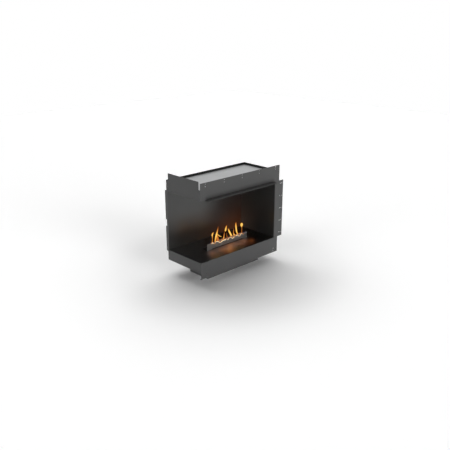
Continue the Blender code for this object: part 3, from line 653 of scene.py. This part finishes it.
def dress_nodes():
    """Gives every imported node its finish, and its sheet edges a small rounding."""
    slots = {part["node"]: part["material_slot"] for part in frame["record"]["subparts"]}
    slots.update(OWN_FINISHES)
    for name, item in NODES.items():
        item.data.materials.clear()
        item.data.materials.append(FINISHES[slots[name]])
        weld = item.modifiers.new("weld", "WELD")
        weld.merge_threshold = WELD_DISTANCE
        bevel = item.modifiers.new("edges", "BEVEL")
        bevel.width = EDGE_ROUNDING
        bevel.segments = EDGE_STEPS
        bevel.limit_method = "ANGLE"
        bevel.angle_limit = EDGE_ANGLE


def turn(profile, steps):
    """A closed form turned about Z through stations of (radius, height)."""
    shape = bmesh.new()
    chain = [shape.verts.new((radius, 0, height)) for radius, height in profile]
    links = [shape.edges.new(pair) for pair in zip(chain, chain[1:])]
    bmesh.ops.spin(shape, geom=chain + links, axis=(0, 0, 1), cent=(0, 0, 0), angle=math.tau,
                   steps=steps, use_merge=True)
    bmesh.ops.remove_doubles(shape, verts=shape.verts, dist=WELD_DISTANCE)
    return shape


def refine(node, shape, finish, body):
    """Stands a finer piece in place of a packed one."""
    piece = link(node + "_fine", to_mesh(node + "_fine", shape, FINE_ANGLE), finish, body)
    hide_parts(node)


def draw_in(corner, share):
    """Brings a corner nearer to the axis that its form was turned about."""
    corner.co.x *= share
    corner.co.y *= share


def refine_screw(node, facing, body):
    """A domed screw with a six-sided socket."""
    low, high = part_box(node)
    size = high - low
    length = abs(size.dot(facing))
    head = max(side for side, axis in zip(size, facing) if not axis) / 2 * FINE_TRIM
    socket = head * SOCKET_SHARE
    end = SCREW_HEAD_HEIGHT - length
    shank = [(0, end), (SCREW_END_RADIUS, end), (SCREW_SHANK_RADIUS, end + SCREW_CHAMFER),
             (SCREW_SHANK_RADIUS, 0)]
    dome = [(head * share, height) for share, height in SCREW_DOME]
    hollow = [(socket * share, height) for share, height in SOCKET_SECTION]
    shape = turn([*shank, *dome, *hollow], SCREW_STEPS)
    side = math.tau / SOCKET_SIDES
    for corner in shape.verts:
        if corner.co.z > 0 and abs(corner.co.xy.length - socket) < WELD_DISTANCE:
            turned = math.atan2(corner.co.y, corner.co.x) % side - side / 2
            draw_in(corner, math.cos(side / 2) / math.cos(turned))
    seat = (low + high) / 2 + facing * (length / 2 - SCREW_HEAD_HEIGHT)
    rotation = facing.to_track_quat("Z", "Y").to_matrix().to_4x4()
    bmesh.ops.transform(shape, matrix=Matrix.Translation(seat) @ rotation, verts=shape.verts)
    refine(node, shape, FINISHES["screw_steel"], body)


def refine_knob():
    """The snuffer's knob: a stem, a grip with a straight knurl, and a dished top."""
    low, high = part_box("snuffer_knob")
    grip = (high.x - low.x) / 2 * FINE_TRIM
    root = high.z - low.z - KNOB_GRIP_HEIGHT
    section = [(grip * share, root + height) for share, height in KNOB_SECTION]
    shape = turn([(0, 0), (KNOB_STEM_RADIUS, 0), (KNOB_STEM_RADIUS, root), *section], KNOB_STEPS)
    for corner in shape.verts:
        step = round(math.atan2(corner.co.y, corner.co.x) / math.tau * KNOB_STEPS)
        if step % 2 and abs(corner.co.xy.length - grip) < WELD_DISTANCE:
            draw_in(corner, KNURL_SHARE)
    place = Vector(((low.x + high.x) / 2, (low.y + high.y) / 2, low.z))
    bmesh.ops.translate(shape, vec=place, verts=shape.verts)
    refine("snuffer_knob", shape, FINISHES["screw_steel"], "snuffer")


def is_lengthwise(edge):
    """Whether an edge of the wick runs from end to end."""
    start, end = edge.verts
    return abs(end.co.x - start.co.x) > WELD_DISTANCE


def refine_wick():
    """A pad of ceramic fibre with a soft, uneven skin."""
    low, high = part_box("ceramic_wick")
    size = high - low - Vector((1, 1, 1)) * WICK_TRIM
    shape = bmesh.new()
    bmesh.ops.create_cube(shape, size=1)
    bmesh.ops.scale(shape, vec=size, verts=shape.verts)
    lengthwise = [edge for edge in shape.edges if is_lengthwise(edge)]
    bmesh.ops.subdivide_edges(shape, edges=lengthwise, cuts=WICK_LENGTH_CUTS, use_grid_fill=True)
    crosswise = [edge for edge in shape.edges if not is_lengthwise(edge)]
    bmesh.ops.subdivide_edges(shape, edges=crosswise, cuts=WICK_CROSS_CUTS, use_grid_fill=True)
    bmesh.ops.recalc_face_normals(shape, faces=shape.faces)
    shape.normal_update()
    for corner in shape.verts:
        lumps = sum(noise.noise(corner.co * scale) * share for scale, share in WICK_LUMPS)
        corner.co -= corner.normal * (lumps + WICK_EVEN_SHARE) * WICK_ROUGHNESS
    bmesh.ops.translate(shape, vec=(low + high) / 2, verts=shape.verts)
    refine("ceramic_wick", shape, FINISHES["ceramic_fibre"], "burner")


def refine_pieces():
    """Screws, knob and wick."""
    for name, (count, facing, body) in SCREWS.items():
        for number in range(1, count + 1):
            refine_screw(f"{name}_{number}", facing, body)
    refine_knob()
    refine_wick()


def smooth_route(points, steps):
    """Stations between chosen points, on a curve that passes through each of them."""
    route = []
    ends = [points[0], *points, points[-1]]
    for before, start, end, after in zip(ends, ends[1:], ends[2:], ends[3:]):
        for step in range(steps):
            share = step / steps
            route.append([
                ((2 * b) + (c - a) * share + (2 * a - 5 * b + 4 * c - d) * share ** 2
                 + (3 * b - a - 3 * c + d) * share ** 3) / 2
                for a, b, c, d in zip(before, start, end, after)])
    route.append(list(points[-1]))
    return route


def wave(across, up, scale, seed):
    """A soft wave between -1 and 1, by the place along the slot and the height."""
    return noise.noise(Vector((across * scale[0], up * scale[1], seed)))


def flame_shape(points, share=1.0, spread=0.0, seed=0.0):
    """A tongue of flame lofted through (across, up, half width, glow) from the sill corner."""
    shape = bmesh.new()
    glow = shape.verts.layers.float.new("glow")
    ring = bmesh.ops.create_circle(shape, segments=FLAME_SIDES, radius=1, cap_ends=True)
    corners = ring["verts"]
    rim = [corner.co.copy() for corner in corners]
    cap = corners[0].link_faces[0]
    for count, (across, up, half, heat) in enumerate(smooth_route(points, FLAME_STEPS)):
        half = max(half, FLAME_TIP) * share + spread
        if count:
            cap = bmesh.ops.extrude_discrete_faces(shape, faces=[cap])["faces"][0]
            corners = list(cap.verts)
        wander = wave(across, up, FLAME_WANDER_SCALE, seed) * FLAME_WANDER
        swing = wander * min(1.0, up / FLAME_WANDER_HEIGHT)
        middle = SILL + Vector((across, SLOT_FROM_SILL + swing, up))
        deep = min(half * FLAME_THICKNESS_SHARE, FLAME_DEEPEST)
        for corner, place in zip(corners, rim):
            corner.co = middle + Vector((place.x * half, place.y * deep, 0))
            corner[glow] = heat
    return shape


def snuff(piece, deep, up, tilt=0.0):
    """Gives a piece a mesh of its own."""
    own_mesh(piece)


def stand_flame(name, shape, finish):
    """Stands a tongue of flame on the burner, rounded, with a mesh of its own."""
    piece = link(name, to_mesh(name, shape, FLAME_ANGLE), finish, "burner")
    rounded = piece.modifiers.new("rounded", "SUBSURF")
    rounded.levels = 1
    rounded.render_levels = 1
    snuff(piece, SLOT_FROM_SILL, -SNUFFED_DROP)


def light_flames():
    """Tongues of flame, each a bright core in a thin orange veil."""
    core, veil = flame_core(), flame_veil()
    for count, (name, points) in enumerate(FLAMES.items()):
        stand_flame(name, flame_shape(points, seed=count), core)
        stand_flame(name + "_veil", flame_shape(points, VEIL_SHARE, VEIL_SPREAD, seed=count), veil)


def rim_height(across):
    """Height of the bed's rim, which waves between its chosen points."""
    for (start, first), (end, last) in zip(BED_RIM, BED_RIM[1:]):
        if across <= end:
            share = max(0.0, (across - start) / (end - start))
            return first + (last - first) * (1 - math.cos(share * math.pi)) / 2
    return BED_RIM[-1][1]


def bed_route(across):
    """The bed's section at one place along the slot."""
    rim = rim_height(across)
    hanging = [(deep, rim + up, glow) for deep, up, glow in BED_GLOW_ON_GUARD]
    return smooth_route([*BED_SECTION, *hanging], BED_STEPS)


def thicken(piece, thickness):
    """Gives a sheet its thickness, half to each side."""
    skin = piece.modifiers.new("skin", "SOLIDIFY")
    skin.thickness = thickness
    skin.offset = 0.0


def lay_flame_bed():
    """The low ripple of flame along the slot, which hangs over the guard's edge as painted glow on
    its front.
    """
    start, end = BED_RIM[0][0], BED_RIM[-1][0]
    rows = len(bed_route(start)) - 1
    shape = bmesh.new()
    glow = shape.verts.layers.float.new("glow")
    bmesh.ops.create_grid(shape, x_segments=BED_COLUMNS, y_segments=rows, size=0.5)
    for corner in shape.verts:
        across = start + (corner.co.x + 0.5) * (end - start)
        deep, up, heat = bed_route(across)[round((corner.co.y + 0.5) * rows)]
        ripple = wave(across, up, RIPPLE_SCALE, RIPPLE_SEED)
        ends = min(1.0, (across - start) / BED_FADE[0],
                   (end - across) / BED_FADE[1] + ripple * RIPPLE_FADE_SHARE)
        corner.co = SILL + Vector((across, deep + ripple * RIPPLE_DEPTH, up))
        corner[glow] = heat * max(0.0, ends) * (1 + ripple * RIPPLE_GLOW_SHARE)
    piece = link("flame_bed", to_mesh("flame_bed", shape, FLAME_ANGLE), flame_bed(), "burner")
    thicken(piece, BED_SKIN)
    snuff(piece, *BED_SUNK, BED_SUNK_TILT)


def cast_light(name, low, high, side, colours, pools):
    """A film of flame light over a sheet, with a mesh of its own."""
    # The film glows by itself: painted flame light over the sheet, no lamp.
    low, high, side = SILL + Vector(low), SILL + Vector(high), Vector(side)
    shape = bmesh.new()
    bmesh.ops.create_grid(shape, x_segments=FILM_GRID[0], y_segments=FILM_GRID[1], size=0.5)
    turned = Vector((0, 0, 1)).rotation_difference(side).to_matrix()
    bmesh.ops.rotate(shape, matrix=turned, verts=shape.verts)
    bmesh.ops.scale(shape, vec=[length or 1 for length in high - low], verts=shape.verts)
    bmesh.ops.translate(shape, vec=(low + high) / 2, verts=shape.verts)
    piece = link(name, to_mesh(name, shape), flame_light(name, colours, pools), "casing")
    thicken(piece, FILM_SKIN)
    low - side * FILM_SUNK
    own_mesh(piece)


def studio_white(network):
    """One for rays that see the studio itself, from the camera or in gloss and glass."""
    path = network.node("LightPath", output="Is Camera Ray")
    gloss = Value(network, path.socket.node.outputs["Is Glossy Ray"])
    glass = Value(network, path.socket.node.outputs["Is Transmission Ray"])
    return network.clipped(path + gloss + glass, (0.0, 1.0))


def light_studio():
    """White surroundings that are seen but light nothing, and the lamps."""
    world = bpy.data.worlds.new("studio")
    world.use_nodes = True
    bpy.context.scene.world = world
    network = Network(world.node_tree)
    background = world.node_tree.nodes["Background"]
    network.feed(background.inputs["Color"], grey(1.0))
    network.feed(background.inputs["Strength"], studio_white(network))
    for name, (strength, spread, side) in LAMPS.items():
        hang_lamp(name, strength, spread, side)


def hang_lamp(name, strength, spread, side):
    """A soft far lamp that shines from a side of the object."""
    lamp = bpy.data.lights.new(name, "SUN")
    lamp.energy = strength
    lamp.angle = spread
    holder = bpy.data.objects.new(name, lamp)
    holder.rotation_euler = side.to_track_quat("Z", "Y").to_euler()
    holder.visible_glossy = False
    bpy.context.scene.collection.objects.link(holder)


def lay_studio_floor():
    """A wide floor that goes over into the white surroundings."""
    shape = bmesh.new()
    bmesh.ops.create_grid(shape, x_segments=FLOOR_GRID, y_segments=FLOOR_GRID, size=FLOOR_HALF)
    mesh = to_mesh("studio_floor", shape)
    floor = bpy.data.objects.new("studio_floor", mesh)
    bpy.context.scene.collection.objects.link(floor)
    finish = Finish("studio_white", {"Roughness": 1.0, "Specular IOR Level": 0.0,
                                     "Emission Strength": 1.0})
    seen = studio_white(finish)
    finish.set("Base Color", finish.blend(seen, grey(FLOOR_GIVES_BACK), grey(1.0)))
    bright = finish.curve(finish.distance(finish.point()) / FLOOR_REACH, FLOOR_STOPS)
    finish.set("Emission Color", finish.blend(seen, grey(0.0), bright))
    mesh.materials.append(finish.material)


def stand_camera():
    """Looks at the object from the front left, from above."""
    lens = bpy.data.cameras.new("camera")
    lens.lens = LENS
    lens.sensor_width = SENSOR
    lens.sensor_fit = "HORIZONTAL"
    camera = bpy.data.objects.new("camera", lens)
    camera.location = SILL + CAMERA_FROM_SILL
    camera.rotation_euler = (CAMERA_TILT, 0, CAMERA_TURN)
    bpy.context.scene.collection.objects.link(camera)
    bpy.context.scene.camera = camera


def main():
    """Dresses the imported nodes, adds the fine pieces, the fire and the studio."""
    bpy.context.scene.view_settings.view_transform = "Standard"
    dress_nodes()
    refine_pieces()
    light_flames()
    lay_flame_bed()
    for name, film in LIGHT_FILMS.items():
        cast_light(name, **film)
    light_studio()
    lay_studio_floor()
    stand_camera()


main()
